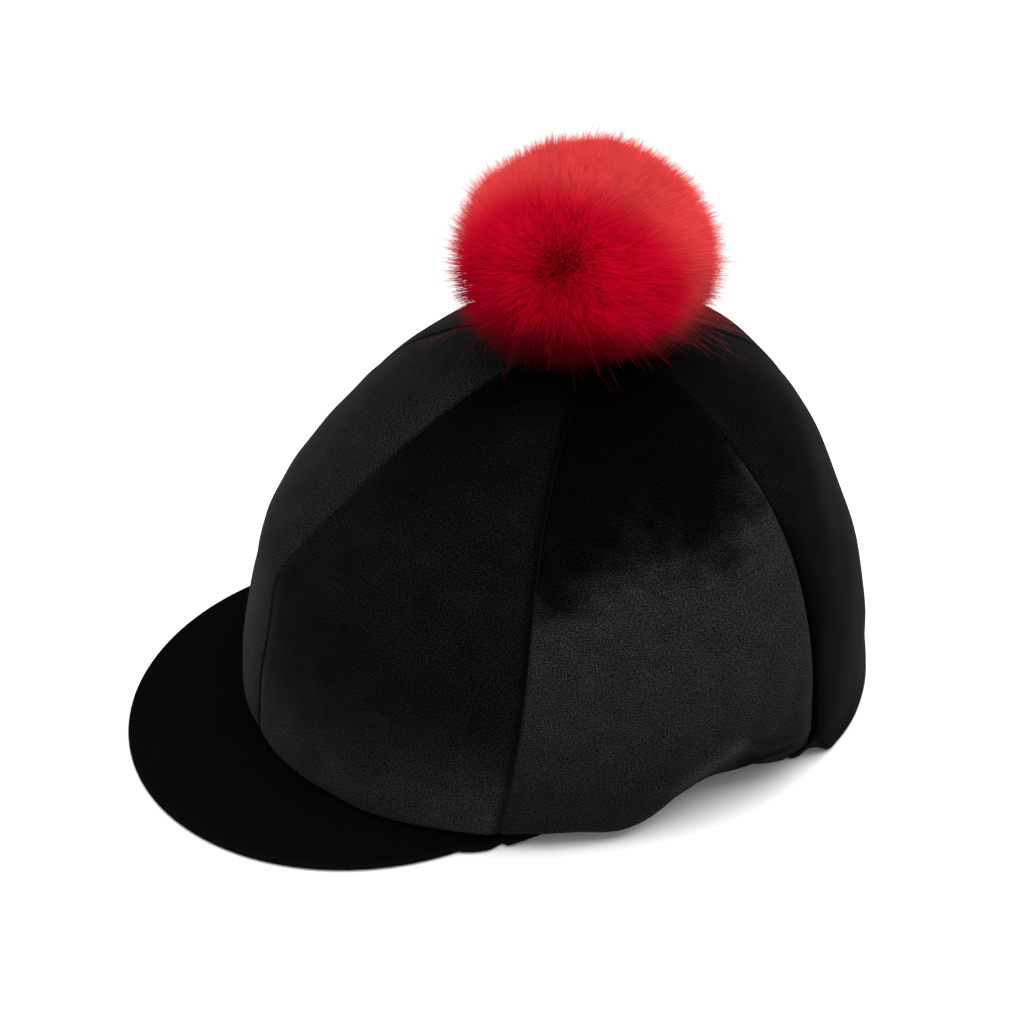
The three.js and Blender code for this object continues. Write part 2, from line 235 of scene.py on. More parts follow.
def cloth_line(azimuth, along):
    """The outside of the cloth as a distance out and a height, stacked on the last axis.
    along runs from 0 at the top to 1 at the crease, 2 and 3 at the ends of the roll, and 4 at the hem."""
    crease_up, edge_up, hem_up = (rim_value(name, azimuth) for name in ("crease_up", "edge_up", "hem_up"))
    edge_out = form_radius(azimuth, latitude_at(edge_up)) - rim_value("edge_in", azimuth)
    hem_out = form_radius(azimuth, np.zeros_like(azimuth)) - rim_value("hem_in", azimuth)
    latitude = TOP_LATITUDE + (latitude_at(crease_up) - TOP_LATITUDE) * np.clip(along, 0, 1)
    dome = np.stack((form_radius(azimuth, latitude), CROWN_HEIGHT * np.sin(np.radians(latitude))), -1)
    fold = np.stack((form_radius(azimuth, latitude_at(crease_up)), crease_up), -1)
    edge = np.stack((edge_out, edge_up), -1)
    hem = np.stack((hem_out, hem_up), -1)
    roll = rim_value("roll", azimuth)[..., None]
    roll_start = edge + (fold - edge) / np.linalg.norm(fold - edge, axis=-1, keepdims=True) * roll
    roll_end = edge + (hem - edge) / np.linalg.norm(hem - edge, axis=-1, keepdims=True) * roll
    down, bend, flap = (np.clip(along - start, 0, 1)[..., None] for start in (1, 2, 3))
    facet = fold + (roll_start - fold) * down
    turn = (1 - bend) ** 2 * roll_start + 2 * bend * (1 - bend) * edge + bend**2 * roll_end
    under = roll_end + (hem - roll_end) * flap
    part = along[..., None]
    return np.where(part <= 1, dome, np.where(part <= 2, facet, np.where(part <= 3, turn, under)))


def around(azimuth, line):
    """Points at those degrees round from the front, from their distances out and heights."""
    turn = np.radians(azimuth)
    return np.stack((line[..., 0] * np.sin(turn), -line[..., 0] * np.cos(turn), line[..., 1]), -1)


def cloth_surface(azimuth, along):
    """Points of the cloth's outside, and the directions in which it faces."""
    turn, step = 0.05, 0.004

    def place(degrees, row):
        return around(azimuth + degrees, cloth_line(azimuth + degrees, row))

    down = place(0, np.minimum(along + step, 4)) - place(0, np.maximum(along - step, 0))
    facing = np.cross(down, place(turn, along) - place(-turn, along))
    return place(0, along), facing / np.linalg.norm(facing, axis=-1, keepdims=True)


def smooth_step(value, low, high):
    share = np.clip((value - low) / (high - low), 0, 1)
    return share * share * (3 - 2 * share)


def seam_azimuth(seam, height):
    """Degrees round from the front. Seams bow half way up, and the side back one's foot hooks forward."""
    azimuth, bow = SEAMS[seam]
    hook = HOOK_DEGREES * (1 - smooth_step(height, 0, HOOK_HEIGHT)) if seam == "side_back" else 0
    return azimuth + bow * np.sin(np.pi * np.clip(height / CROWN_HEIGHT, 0, 1)) - hook


def soft_waves(points, seed, count, shortest, longest):
    """Unevenness of about -1 to 1: a sum of waves of random lengths and directions."""
    random = np.random.default_rng(seed)
    total = np.zeros(points.shape[:-1])
    for _ in range(count):
        direction = random.normal(size=3)
        direction /= np.linalg.norm(direction)
        length = random.uniform(shortest, longest)
        phase = random.uniform(0, 2 * np.pi)
        total += np.sin(2 * np.pi * (points @ direction) / length + phase)
    return total / np.sqrt(count)


# The order of a face's corners that turns it over.
OTHER_WAY = [0, 3, 2, 1]


def grid_faces(at):
    """Faces between neighbours in a grid of point numbers."""
    return np.stack((at[:-1, :-1], at[1:, :-1], at[1:, 1:], at[:-1, 1:]), -1).reshape(-1, 4)


def shell(skin, lining):
    """A closed body's points and faces from two matching grids: a skin facing outwards and a lining."""
    rows, columns = skin.shape[:2]
    points = np.concatenate((skin.reshape(-1, 3), lining.reshape(-1, 3)))
    at = np.arange(2 * rows * columns).reshape(2, rows, columns)
    rim = np.concatenate((at[0, :-1, 0], at[0, -1, :-1], at[0, :0:-1, -1], at[0, 0, :0:-1]))
    ahead = np.roll(rim, -1)
    inside = rows * columns
    walls = np.stack((rim, rim + inside, ahead + inside, ahead), -1)
    return points, np.concatenate((grid_faces(at[0]), grid_faces(at[1])[:, OTHER_WAY], walls))


def add_mesh(name, points, faces, material):
    """A smooth mesh object from points in millimetres about the crown's upright line."""
    mesh = bpy.data.meshes.new(name)
    places = (points + np.array((0, CROWN_LINE_BACK, 0))) * MM
    mesh.from_pydata(places.tolist(), [], [list(face) for face in faces])
    mesh.polygons.foreach_set("use_smooth", np.ones(len(mesh.polygons), bool))
    mesh.materials.append(material)
    mesh.update()
    piece = bpy.data.objects.new(name, mesh)
    scene.collection.objects.link(piece)
    return piece


def add_cloth_map(piece, across_mm, down_mm):
    """A UV map in metres of cloth, from each point's place across and down its panel."""
    places = np.stack((across_mm, down_mm), -1).reshape(-1, 2) * MM
    corners = np.zeros(len(piece.data.loops), int)
    piece.data.loops.foreach_get("vertex_index", corners)
    layer = piece.data.uv_layers.new(name="cloth")
    layer.data.foreach_set("uv", places[corners].ravel())


def add_pile(piece, nap_and_painted_light, crush):
    """Keeps how the pile lies, with its painted sheen and shade, and how far crushed patches move that, on
    the mesh's points.
    """
    for name, values in (("nap_and_painted_light", nap_and_painted_light), ("crush", np.broadcast_to(crush, nap_and_painted_light.shape))):
        layer = piece.data.attributes.new(name, "FLOAT", "POINT")
        layer.data.foreach_set("value", values.ravel().astype(np.float32))


def beside(distance, middle, width):
    """A soft line of shade along a seam, at a distance from it."""
    return np.exp(-(((distance - middle) / width) ** 2))


def pile_lie_and_painted_light(panel, side, azimuth, along, points, from_front, from_back):
    """How the pile lies, from 0 where it swallows light to 1 where it is brushed towards it, and how far
    crushed patches move that. Its tone by panel, height and place round the crown is painted sheen and
    shade, with painted shade along the seams and painted light and shade at the crease over each ear."""
    height = points[..., 2]
    low = 1 - smooth_step(height, *LOW_HEIGHTS)
    high = smooth_step(height, *HIGH_HEIGHTS)
    patches = soft_waves(points, PATCH_SEED, PATCH_WAVES, *PATCH_LENGTHS)
    crush = np.full(height.shape, CRUSH_EVERYWHERE)
    if panel == "front" and side > 0:
        near_centre = 1 - smooth_step(azimuth, 2, 24)
        # Painted shade along both seams, and the top painted darker as shade.
        painted_shade_and_light = -0.3 * beside(from_front, 0, 1.6) - 0.35 * beside(from_back, 0, 2.6)
        shaded = 0.05 + 0.24 * (1 - smooth_step(azimuth, 6, 36))
        return 0.335 - shaded * high + 0.43 * low + 0.06 * near_centre * low + 0.03 * patches + painted_shade_and_light, crush
    if panel == "front":
        lower_half = 1 - smooth_step(height, 60, 125)
        # Painted light beside the centre front seam near the top and painted shade along it lower down; the
        # panel's lighter tone is painted sheen.
        painted_shade_and_light = 0.16 * beside(from_front, 0, 20) * high - 0.4 * beside(from_front, 0, 1.1) * lower_half
        return 0.60 - 0.08 * high + 0.18 * lower_half + painted_shade_and_light, crush
    if panel == "side":
        # Below a wavy line the side panel is painted lighter, as the sheen of pile brushed towards the
        # light.
        brushed_sheen_up_to = np.interp(azimuth, BRUSHED_SHEEN["azimuth"], BRUSHED_SHEEN["up_to"])
        edge = height - brushed_sheen_up_to - 3.5 * patches
        brushed_sheen = 1 - smooth_step(edge, -16, 13)
        crush += CRUSH_AT_BRUSHED_EDGE * beside(edge, 2, 15)
        # Painted shade along the seams above the brushed part.
        painted_seam_shade = 0.3 * beside(from_front, 0, 1.2) + 0.25 * beside(from_back, 0, 1.2)
        painted_shade_and_light = -0.1 * beside(from_back, 0, 1.5) - painted_seam_shade * (1 - brushed_sheen)
        at_ear = smooth_step(azimuth, 74, 84)
        behind_ear = smooth_step(azimuth, 93, 99)
        # Painted highlight along the crease over the ear, painted shade on the facet below it, and painted
        # shade under the rim behind the ear.
        painted_crease_light_and_shade = (0.27 - 0.4 * behind_ear) * beside(along, 0.99, 0.022)
        painted_crease_light_and_shade -= 0.45 * smooth_step(along, 1.05, 1.7) + 0.9 * behind_ear * smooth_step(along, 1.9, 2.4)
        # On the right side, painted sheen on the panel's upper front.
        if side < 0:
            painted_shade_and_light += 0.5 * (1 - brushed_sheen) * (1 - smooth_step(azimuth, 70, 100))
        return 0.05 - 0.08 * high + 0.71 * brushed_sheen - 0.17 * low + painted_shade_and_light + painted_crease_light_and_shade * at_ear, crush
    # Painted sheen grows towards the back's outline; the lower part is darker.
    outer = smooth_step(azimuth, 135, 165)
    upper = smooth_step(height, 80, 140)
    # Painted light beside the side back seam near the top, painted shade along it lower down.
    painted_shade_and_light = 0.17 * beside(from_front, 0, 26) * upper - 0.3 * beside(from_front, 1.5, 2.2) * (1 - upper)
    return 0.11 - 0.14 * low - 0.16 * (1 - upper) + 0.27 * outer + 0.03 * patches + painted_shade_and_light, crush


def build_panel(name, side, front_seam, back_seam, material):
    """One wedge of cloth, with its edges rounded over into the seam allowances inside."""
    starts = enumerate((DOME_ROWS, FACET_ROWS, ROLL_ROWS))
    rows = [np.linspace(start, start + 1, count, endpoint=False) for start, count in starts]
    rows = np.concatenate((*rows, np.linspace(3, 4, FLAP_ROWS)))
    # Each column of the wedge lies a share of the way across and some depth in from the skin.
    corner = np.radians(np.linspace(0, 90, SEAM_EDGE_POINTS))
    allowance = (-SEAM_ALLOWANCE, -(SEAM_ALLOWANCE + SEAM_ROUND) / 2)
    turned_in = np.concatenate((allowance, SEAM_ROUND * (np.sin(corner) - 1)))
    inset = np.concatenate(([0, 0], SEAM_ROUND * (1 - np.cos(corner))))
    shares = (1 - np.cos(np.linspace(0, np.pi, PANEL_COLUMNS)[1:-1])) / 2
    edge = len(inset)
    columns = 2 * edge + len(shares)
    depth = np.zeros(columns)
    depth[:edge] = turned_in
    depth[-edge:] = turned_in[::-1]
    along = np.repeat(rows[:, None], columns, 1)
    low_azimuth, high_azimuth = SEAMS[front_seam][0], SEAMS[back_seam][0]
    azimuth = np.full_like(along, (low_azimuth + high_azimuth) / 2)
    for _ in range(FITTING_ROUNDS):
        line = cloth_line(azimuth, along)
        from_azimuth = seam_azimuth(front_seam, line[..., 1])
        to_azimuth = seam_azimuth(back_seam, line[..., 1])
        degrees_per_mm = np.degrees(1 / line[..., 0])
        width = (to_azimuth - from_azimuth) / degrees_per_mm
        size = np.clip(width / FULL_SEAM_WIDTH, 0.05, 1)
        clear = np.minimum(SEAM_GAP / 2, width / 8)
        across = np.zeros_like(along)
        across[:, :edge] = clear[:, :edge] + inset * size[:, :edge]
        across[:, -edge:] = width[:, -edge:] - clear[:, -edge:] - inset[::-1] * size[:, -edge:]
        inner = slice(edge, columns - edge)
        start, end = across[:, edge - 1 : edge], across[:, -edge : columns - edge + 1]
        across[:, inner] = start + (end - start) * shares
        azimuth = from_azimuth + across * degrees_per_mm
    skin, facing = cloth_surface(azimuth, along)
    height = skin[..., 2].copy()
    from_seam = np.minimum(across, width - across)
    to_back = width - across < across
    hollow = HOLLOW_DEPTH * smooth_step(HOLLOW_TOP - height, 0, HOLLOW_FADE) * to_back
    hollow *= back_seam == "side_back"
    drawn_in = SEAM_DIP * (1 - SHALLOWER_BY * smooth_step(height, *SHALLOWER_HEIGHTS)) + hollow
    dip = drawn_in * beside(from_seam, 0, SEAM_DIP_WIDTH * (1 + 0.5 * hollow)) * size
    on_dome = smooth_step(3.2 - along, 0, 1)
    waves = soft_waves(skin, SLACK_SEED, SLACK_WAVES, *SLACK_LENGTHS)
    relief = depth * size - dip * on_dome + SLACK * waves * on_dome * size
    skin += facing * relief[..., None]
    # The crease and the roll are softened by taking each row towards its neighbours.
    first, last = DOME_ROWS - SOFTENED_ROWS, len(rows) - 2
    for _ in range(SOFTENING_ROUNDS):
        neighbours = skin[first - 1 : last - 1] + 2 * skin[first:last] + skin[first + 1 : last + 1]
        skin[first:last] = neighbours / 4
    facing = np.cross(np.gradient(skin, axis=0), np.gradient(skin, axis=1))
    facing /= np.maximum(np.linalg.norm(facing, axis=-1, keepdims=True), 1e-9)
    lining = skin - facing * (CLOTH_WALL * size)[..., None]
    skin[..., 2] = np.maximum(skin[..., 2], 0)
    lining[..., 2] = np.maximum(lining[..., 2], 0)
    steps_down = np.linalg.norm(np.diff(skin, axis=0), axis=-1)
    down = np.concatenate((np.zeros((1, columns)), np.cumsum(steps_down, 0)))
    skin[..., 0] *= side
    lining[..., 0] *= side
    points, faces = shell(skin, lining)
    if side < 0:
        faces = faces[:, ::-1]
    panel = add_mesh(name, points, faces, material)
    from_middle = across - width / 2
    add_cloth_map(panel, np.stack((from_middle, from_middle)), np.stack((down, down)))
    part = name.split("_")[1]
    nap_and_painted_light, crush = pile_lie_and_painted_light(part, side, azimuth, along, skin, across, width - across)
    add_pile(panel, np.stack((nap_and_painted_light, nap_and_painted_light)), crush)
    return panel


RIB_PITCH = 0.00075
COURSE_PITCH = 0.0009
KNIT_WOBBLE_SCALE = 140.0
RIB_WOBBLE = 5.0
COURSE_WOBBLE = 7.0
PILE_GRAIN_SCALE = 1400.0
CRUSH_SCALE = 85.0
DARKEST_TONE = 0.15
KNIT_HEIGHT = 0.00003
PILE_HEIGHT = 0.00016
RIB_CONTRAST = 0.42
GRAIN_CONTRAST = 1.5
VELVET_ROUGHNESS = 0.92
SHEEN_ROUGHNESS = 0.35
COOL_BLACK = (0.985, 0.985, 1.04)


def maths(tree, operation, *values):
    """A Math node's result."""
    return put(tree, "ShaderNodeMath", enumerate(values), operation=operation).outputs[0]


def times(tree, value, factor):
    return maths(tree, "MULTIPLY", value, factor)


def noise(tree, place, scale, detail=2.0, roughness=0.5):
    """A Noise Texture's value, of about 0 to 1."""
    wires = {"Vector": place, "Scale": scale, "Detail": detail, "Roughness": roughness}
    return put(tree, "ShaderNodeTexNoise", wires).outputs["Fac"]


def add_socket(tree, name, kind, way="INPUT"):
    return tree.interface.new_socket(name, in_out=way, socket_type="NodeSocket" + kind)


def velvet_pile_group():
    """Stretch velvet close up: fine knitted ribs, a grain of pile and patches where the pile is crushed.
    Vector is metres of cloth. Tone is about 1, Shift moves the pile's lie and painted light, Height is in
    metres."""
    group = bpy.data.node_groups.new("velvet_pile", "ShaderNodeTree")
    add_socket(group, "Vector", "Vector")
    for name, value in (("Rib", 0.3), ("Grain", 0.5), ("Crush", 0.1)):
        add_socket(group, name, "Float").default_value = value
    for name in ("Tone", "Shift", "Height"):
        add_socket(group, name, "Float", "OUTPUT")
    entry = put(group, "NodeGroupInput")
    place = entry.outputs["Vector"]
    split = put(group, "ShaderNodeSeparateXYZ", {0: place})
    wobble = noise(group, place, KNIT_WOBBLE_SCALE, 1.0)
    waves = []
    for axis, pitch, wobbles in (("X", RIB_PITCH, RIB_WOBBLE), ("Y", COURSE_PITCH, COURSE_WOBBLE)):
        turns = times(group, split.outputs[axis], 2 * np.pi / pitch)
        waves.append(maths(group, "SINE", maths(group, "MULTIPLY_ADD", wobble, wobbles, turns)))
    knit = maths(group, "MULTIPLY_ADD", waves[0], 0.6, waves[1])
    grain = maths(group, "SUBTRACT", noise(group, place, PILE_GRAIN_SCALE, 1.0), 0.5)
    tone = times(group, knit, entry.outputs["Rib"])
    strong_grain = times(group, grain, 4.0)
    tone = maths(group, "MULTIPLY_ADD", strong_grain, entry.outputs["Grain"], tone)
    tone = maths(group, "MAXIMUM", maths(group, "ADD", tone, 1.0), DARKEST_TONE)
    crush = maths(group, "SUBTRACT", noise(group, place, CRUSH_SCALE, 5.0, 0.62), 0.5)
    shift = times(group, times(group, crush, 4.0), entry.outputs["Crush"])
    pile = times(group, grain, PILE_HEIGHT)
    height = maths(group, "MULTIPLY_ADD", knit, KNIT_HEIGHT, pile)
    put(group, "NodeGroupOutput", {"Tone": tone, "Shift": shift, "Height": height})
    return group


velvet_pile = velvet_pile_group()


def attribute(tree, name):
    """A value kept on the mesh's points."""
    return put(tree, "ShaderNodeAttribute", attribute_name=name).outputs["Fac"]


def scaled(tree, way, amount):
    node = put(tree, "ShaderNodeVectorMath", {0: way, "Scale": amount}, operation="SCALE")
    return node.outputs["Vector"]


def velvet_material(name, darkest, lightest, tint, grain, sheen):
    """Black velvet whose tone runs from darkest to lightest with the pile's lie and painted light kept on
    its points, in crushed patches.
    """
    material, tree, shader = new_material(name)
    cloth = put(tree, "ShaderNodeUVMap", uv_map="cloth")
    pile = put(tree, "ShaderNodeGroup", node_tree=velvet_pile)
    tree.links.new(cloth.outputs["UV"], pile.inputs["Vector"])
    pile.inputs["Rib"].default_value = RIB_CONTRAST * grain
    pile.inputs["Grain"].default_value = GRAIN_CONTRAST * grain
    tree.links.new(attribute(tree, "crush"), pile.inputs["Crush"])
    nap_and_painted_light = maths(tree, "ADD", attribute(tree, "nap_and_painted_light"), pile.outputs["Shift"])
    tone = maths(tree, "POWER", lightest / darkest, nap_and_painted_light)
    tone = times(tree, times(tree, tone, darkest), pile.outputs["Tone"])
    tree.links.new(scaled(tree, tint, tone), shader.inputs["Base Color"])
    wires = {"Height": pile.outputs["Height"], "Strength": 0.8, "Distance": 1.0}
    tree.links.new(put(tree, "ShaderNodeBump", wires).outputs["Normal"], shader.inputs["Normal"])
    shader.inputs["Roughness"].default_value = VELVET_ROUGHNESS
    shader.inputs["Specular IOR Level"].default_value = 0.0
    shader.inputs["Sheen Weight"].default_value = sheen
    shader.inputs["Sheen Roughness"].default_value = SHEEN_ROUGHNESS
    return material


panel_velvet = velvet_material("panel_velvet", 0.0011, 0.0236, COOL_BLACK, grain=1.0, sheen=0.03)
# Each panel, left and right, in velvet in place of its plain part, which is hidden.
for side_name, side in (("left", 1), ("right", -1)):
    for part, front_seam, back_seam in (
        ("front", "centre_front", "side_front"),
        ("side", "side_front", "side_back"),
        ("back", "side_back", "centre_back"),
    ):
        node = f"panel_{part}_{side_name}"
        panel = build_panel(node + "_velvet", side, front_seam, back_seam, panel_velvet)
        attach(panel, "root")
        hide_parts(node)

# The hem
# A tube of the same velvet with elastic inside, sewn to the panels' turned-under edge round the mouth.
# The elastic gathers it into small even puckers.
HEM_WIDTH = 16
HEM_THICKNESS = 3
HEM_GAP = 0.3
HEM_STEPS = 600
HEM_MAP_RADIUS = 120
HEM_EDGE_POINTS = 5
HEM_FLAT_POINTS = 9
PUCKERS = 110
PUCKER_DEPTH = 0.45
PUCKER_DRIFTS = 7
PUCKER_DRIFT = 2.5
TOP_PUCKERS = 0.6
HEM_NAP = 0.45


def hem_section():
    """The flat tube's section with round edges, as distances inwards and heights."""
    turn = np.linspace(0, np.pi, HEM_EDGE_POINTS)
    half = HEM_THICKNESS / 2
    outer = np.stack((half - half * np.sin(turn), half - half * np.cos(turn)), -1)
    inner = np.stack((HEM_WIDTH - half + half * np.sin(turn), half + half * np.cos(turn)), -1)
    level = np.linspace(half, HEM_WIDTH - half, HEM_FLAT_POINTS)[1:-1]
    top = np.stack((level, np.full_like(level, HEM_THICKNESS)), -1)
    bottom = np.stack((level[::-1], np.zeros_like(level)), -1)
    return np.concatenate((outer, top, inner, bottom))


hem_azimuth = np.linspace(-180, 180, HEM_STEPS, endpoint=False)
section = hem_section()
hem_out = form_radius(hem_azimuth, np.zeros(HEM_STEPS)) - rim_value("hem_in", hem_azimuth) - HEM_GAP
hem_up = rim_value("hem_up", hem_azimuth)
inwards = section[None, :, 0]
puckering = np.sin(np.pi * np.clip(inwards / HEM_WIDTH, 0, 1))
drift = PUCKER_DRIFT * np.sin(np.radians(hem_azimuth) * PUCKER_DRIFTS)
wave = np.sin(np.radians(hem_azimuth) * PUCKERS + drift)
upper = section[None, :, 1] / HEM_THICKNESS
lift = PUCKER_DEPTH * (0.5 + 0.5 * wave[:, None]) * puckering
hem_height = hem_up[:, None] + section[None, :, 1] + lift * (1 - upper) - lift * upper * TOP_PUCKERS
hem_line = np.stack((hem_out[:, None] - inwards, hem_height), -1)
hem_points = around(hem_azimuth[:, None], hem_line)
at = np.arange(HEM_STEPS * len(section)).reshape(HEM_STEPS, len(section))
hem_faces = grid_faces(np.pad(at, ((0, 1), (0, 1)), "wrap"))
# The hem's velvet is the panels' velvet made darker, as painted shade under the rim.
hem_velvet = velvet_material("hem_velvet", 0.0008, 0.008, COOL_BLACK, grain=1.0, sheen=0.015)
hem = add_mesh("hem_casing", hem_points.reshape(-1, 3), hem_faces, hem_velvet)
hem_round = np.repeat((np.radians(hem_azimuth) * HEM_MAP_RADIUS)[:, None], len(section), 1)
add_cloth_map(hem, hem_round, np.tile(np.arange(len(section)) + 1, (HEM_STEPS, 1)))
add_pile(hem, np.full((HEM_STEPS, len(section)), HEM_NAP), CRUSH_EVERYWHERE)
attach(hem, "root")
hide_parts("hem_band")

# The peak
# A thin stiff blade in the blackest velvet, drawn tight over the board and turned under at its edge.
# Its root is sewn in beneath the front panels, with a short tail of cloth tucked under the rim at each end.
PEAK_HALF_WIDTH = 97
PEAK_LENGTH = 109
PEAK_THICKNESS = 3.2
PEAK_SIDE_LIFT = 0.7
PEAK_ARCH = 1
PEAK_ROOT_IN = 10
PEAK_MEETS_RIM = 46.5
PEAK_TAIL_END = 56
PEAK_TAIL_IN = 8
PEAK_TAIL_LIFT = 3
PEAK_CENTRE = FRONT_REACH + PEAK_DEPTH - PEAK_LENGTH
PEAK_STEPS = 220
PEAK_ROWS = 20
PEAK_EDGE_POINTS = 9
PEAK_NOTCH_DEPTH = 2.6
PEAK_NOTCH_AT = 47.4
PEAK_NOTCH_SPREAD = 0.8
PEAK_NAP = 0.45
PEAK_EDGE_SHEEN = 0.35
PEAK_EDGE_SHEEN_WIDTH = 1.2


def peak_reach(azimuth):
    """How far the peak's outer edge lies from the crown's line."""
    round_from_front = np.abs(azimuth)
    rim = form_radius(azimuth, np.zeros_like(azimuth))
    corner_azimuth = np.degrees(np.arctan2(PEAK_HALF_WIDTH, PEAK_CENTRE))
    along = np.cos(np.radians(round_from_front))
    across = np.sin(np.radians(round_from_front))
    a = (along / PEAK_LENGTH) ** 2 + (across / PEAK_HALF_WIDTH) ** 2
    b = along * PEAK_CENTRE / PEAK_LENGTH**2
    c = (PEAK_CENTRE / PEAK_LENGTH) ** 2 - 1
    front = (b + np.sqrt(np.maximum(b * b - a * c, 0))) / a
    share = (round_from_front - corner_azimuth) / (PEAK_MEETS_RIM - corner_azimuth)
    corner = np.hypot(PEAK_HALF_WIDTH, PEAK_CENTRE)
    sides = corner + (rim - corner) * share
    tail = rim - PEAK_TAIL_IN * (round_from_front - PEAK_MEETS_RIM) / (PEAK_TAIL_END - PEAK_MEETS_RIM)
    beyond = np.where(round_from_front <= PEAK_MEETS_RIM, sides, tail)
    notch = PEAK_NOTCH_DEPTH * beside(round_from_front, PEAK_NOTCH_AT, PEAK_NOTCH_SPREAD)
    return np.where(round_from_front <= corner_azimuth, front, beyond) - notch


peak_azimuth = np.linspace(-PEAK_TAIL_END, PEAK_TAIL_END, PEAK_STEPS)
peak_round = np.abs(peak_azimuth)
root_up = RIM[0][3] - HEM_GAP
root_out = form_radius(peak_azimuth, np.zeros(PEAK_STEPS)) - PEAK_ROOT_IN
edge_out = peak_reach(peak_azimuth)
tail = smooth_step(peak_round, PEAK_MEETS_RIM, PEAK_TAIL_END)
side_lift = PEAK_SIDE_LIFT * np.sin(np.radians(np.minimum(90, 90 * peak_round / PEAK_MEETS_RIM))) ** 2
edge_up = np.minimum(root_up - PEAK_THICKNESS, side_lift + tail * PEAK_TAIL_LIFT)
arch = PEAK_ARCH * (1 - smooth_step(peak_round, 0, PEAK_MEETS_RIM))
half = PEAK_THICKNESS / 2


def underside_up(share):
    """The blade's underside at shares of the way out from its root."""
    level = (root_up - PEAK_THICKNESS) * (1 - share) + edge_up[:, None] * share
    return level + arch[:, None] * np.sin(np.pi * share)


shares = np.linspace(0, 1, PEAK_ROWS)[None, :]
blade_end = (edge_out - half)[:, None]
outwards = root_out[:, None] + (blade_end - root_out[:, None]) * shares
below = np.stack((outwards, underside_up(shares)), -1)
above = np.stack((outwards, underside_up(shares) + PEAK_THICKNESS), -1)
turn = np.linspace(-np.pi / 2, np.pi / 2, PEAK_EDGE_POINTS)[None, 1:-1]
nose_up = edge_up[:, None] + half
nose = np.stack((blade_end + half * np.cos(turn), nose_up + half * np.sin(turn)), -1)
peak_line = np.concatenate((below, nose, above[:, ::-1]), 1)
count = peak_line.shape[1]
peak_points = around(peak_azimuth[:, None], peak_line)
at = np.arange(PEAK_STEPS * count).reshape(PEAK_STEPS, count)
peak_faces = grid_faces(np.pad(at, ((0, 0), (0, 1)), "wrap")).tolist()
end_caps = [at[0].tolist(), at[-1, ::-1].tolist()]
peak_velvet = velvet_material("peak_velvet", 0.0008, 0.0039, (1.0, 1.0, 1.0), grain=0.4, sheen=0.007)
peak = add_mesh("peak_velvet_cover", peak_points.reshape(-1, 3), peak_faces + end_caps, peak_velvet)
add_cloth_map(peak, peak_points[..., 0], peak_points[..., 1])
# The peak's edge is painted lighter, as sheen where the cloth turns under.
from_edge = edge_out[:, None] - peak_line[..., 0]
add_pile(peak, PEAK_NAP + PEAK_EDGE_SHEEN * beside(from_edge, 0, PEAK_EDGE_SHEEN_WIDTH), CRUSH_EVERYWHERE)
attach(peak, "root")
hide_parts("peak")

# The pompom's core
# A ball of the fur's woven backing, gathered over stuffing and drawn in to a short neck underneath.
# The neck is sewn to the crown's top, and the ball itself is hidden in the fur.
POMPOM_FORWARD = 8.4
POMPOM_UP = 223.4
CORE_RADIUS = 32
NECK_RADIUS = 9
NECK_FOOT_UP = CROWN_HEIGHT + 0.8
BALL_FOOT = -66
BALL_ROWS = 34
NECK_ROWS = 9
CORE_STEPS = 64
CORE_GATHERS = 16
GATHER_DEPTH = 0.035
WEAVE_SCALE = 1400.0
BLOTCH_SCALE = 90.0


def backing_material():
    """Dark crimson backing cloth with a fine weave."""
    material, tree, shader = new_material("fur_backing")
    place = put(tree, "ShaderNodeTexCoord").outputs["Object"]
    weave = noise(tree, place, WEAVE_SCALE)
    blotch = times(tree, noise(tree, place, BLOTCH_SCALE), 0.6)
    ramp = put(tree, "ShaderNodeValToRGB", {"Fac": maths(tree, "MULTIPLY_ADD", weave, 0.4, blotch)})
    ramp.color_ramp.elements[0].color = (0.11, 0.001, 0.006, 1)
    ramp.color_ramp.elements[1].color = (0.30, 0.004, 0.016, 1)
    tree.links.new(ramp.outputs["Color"], shader.inputs["Base Color"])
    bump = put(tree, "ShaderNodeBump", {"Height": weave, "Strength": 0.5, "Distance": 0.0003})
    tree.links.new(bump.outputs["Normal"], shader.inputs["Normal"])
    shader.inputs["Roughness"].default_value = 0.95
    shader.inputs["Specular IOR Level"].default_value = 0.1
    return material


ball_turn = np.radians(np.linspace(90, BALL_FOOT, BALL_ROWS))
ball_line = np.stack((CORE_RADIUS * np.cos(ball_turn), POMPOM_UP + CORE_RADIUS * np.sin(ball_turn)), -1)
neck_share = np.linspace(0, 1, NECK_ROWS)[1:]
ball_end_out, ball_end_up = ball_line[-1]
neck_out = ball_end_out + (NECK_RADIUS - ball_end_out) * smooth_step(neck_share, 0, 1)
neck_up = ball_end_up + (NECK_FOOT_UP - ball_end_up) * neck_share
core_line = np.concatenate((ball_line[1:], np.stack((neck_out, neck_up), -1)))
core_azimuth = np.linspace(0, 360, CORE_STEPS, endpoint=False)[:, None]
gathers = np.sin(np.radians(core_azimuth) * CORE_GATHERS)
gather = 1 - GATHER_DEPTH * gathers * np.linspace(0, 1, len(core_line)) ** 2
core_out = core_line[:, 0] * gather
core_up = np.repeat(core_line[None, :, 1], CORE_STEPS, 0)
core_points = around(core_azimuth, np.stack((core_out, core_up), -1)) - np.array((0, POMPOM_FORWARD, 0))
count = core_points.shape[1]
at = np.arange(CORE_STEPS * count).reshape(CORE_STEPS, count)
ahead = np.roll(at, -1, 0)
core_faces = grid_faces(np.pad(at, ((0, 1), (0, 0)), "wrap"))[:, OTHER_WAY].tolist()
top, foot = CORE_STEPS * count, CORE_STEPS * count + 1
core_faces += [[top, int(at[i, 0]), int(ahead[i, 0])] for i in range(CORE_STEPS)]
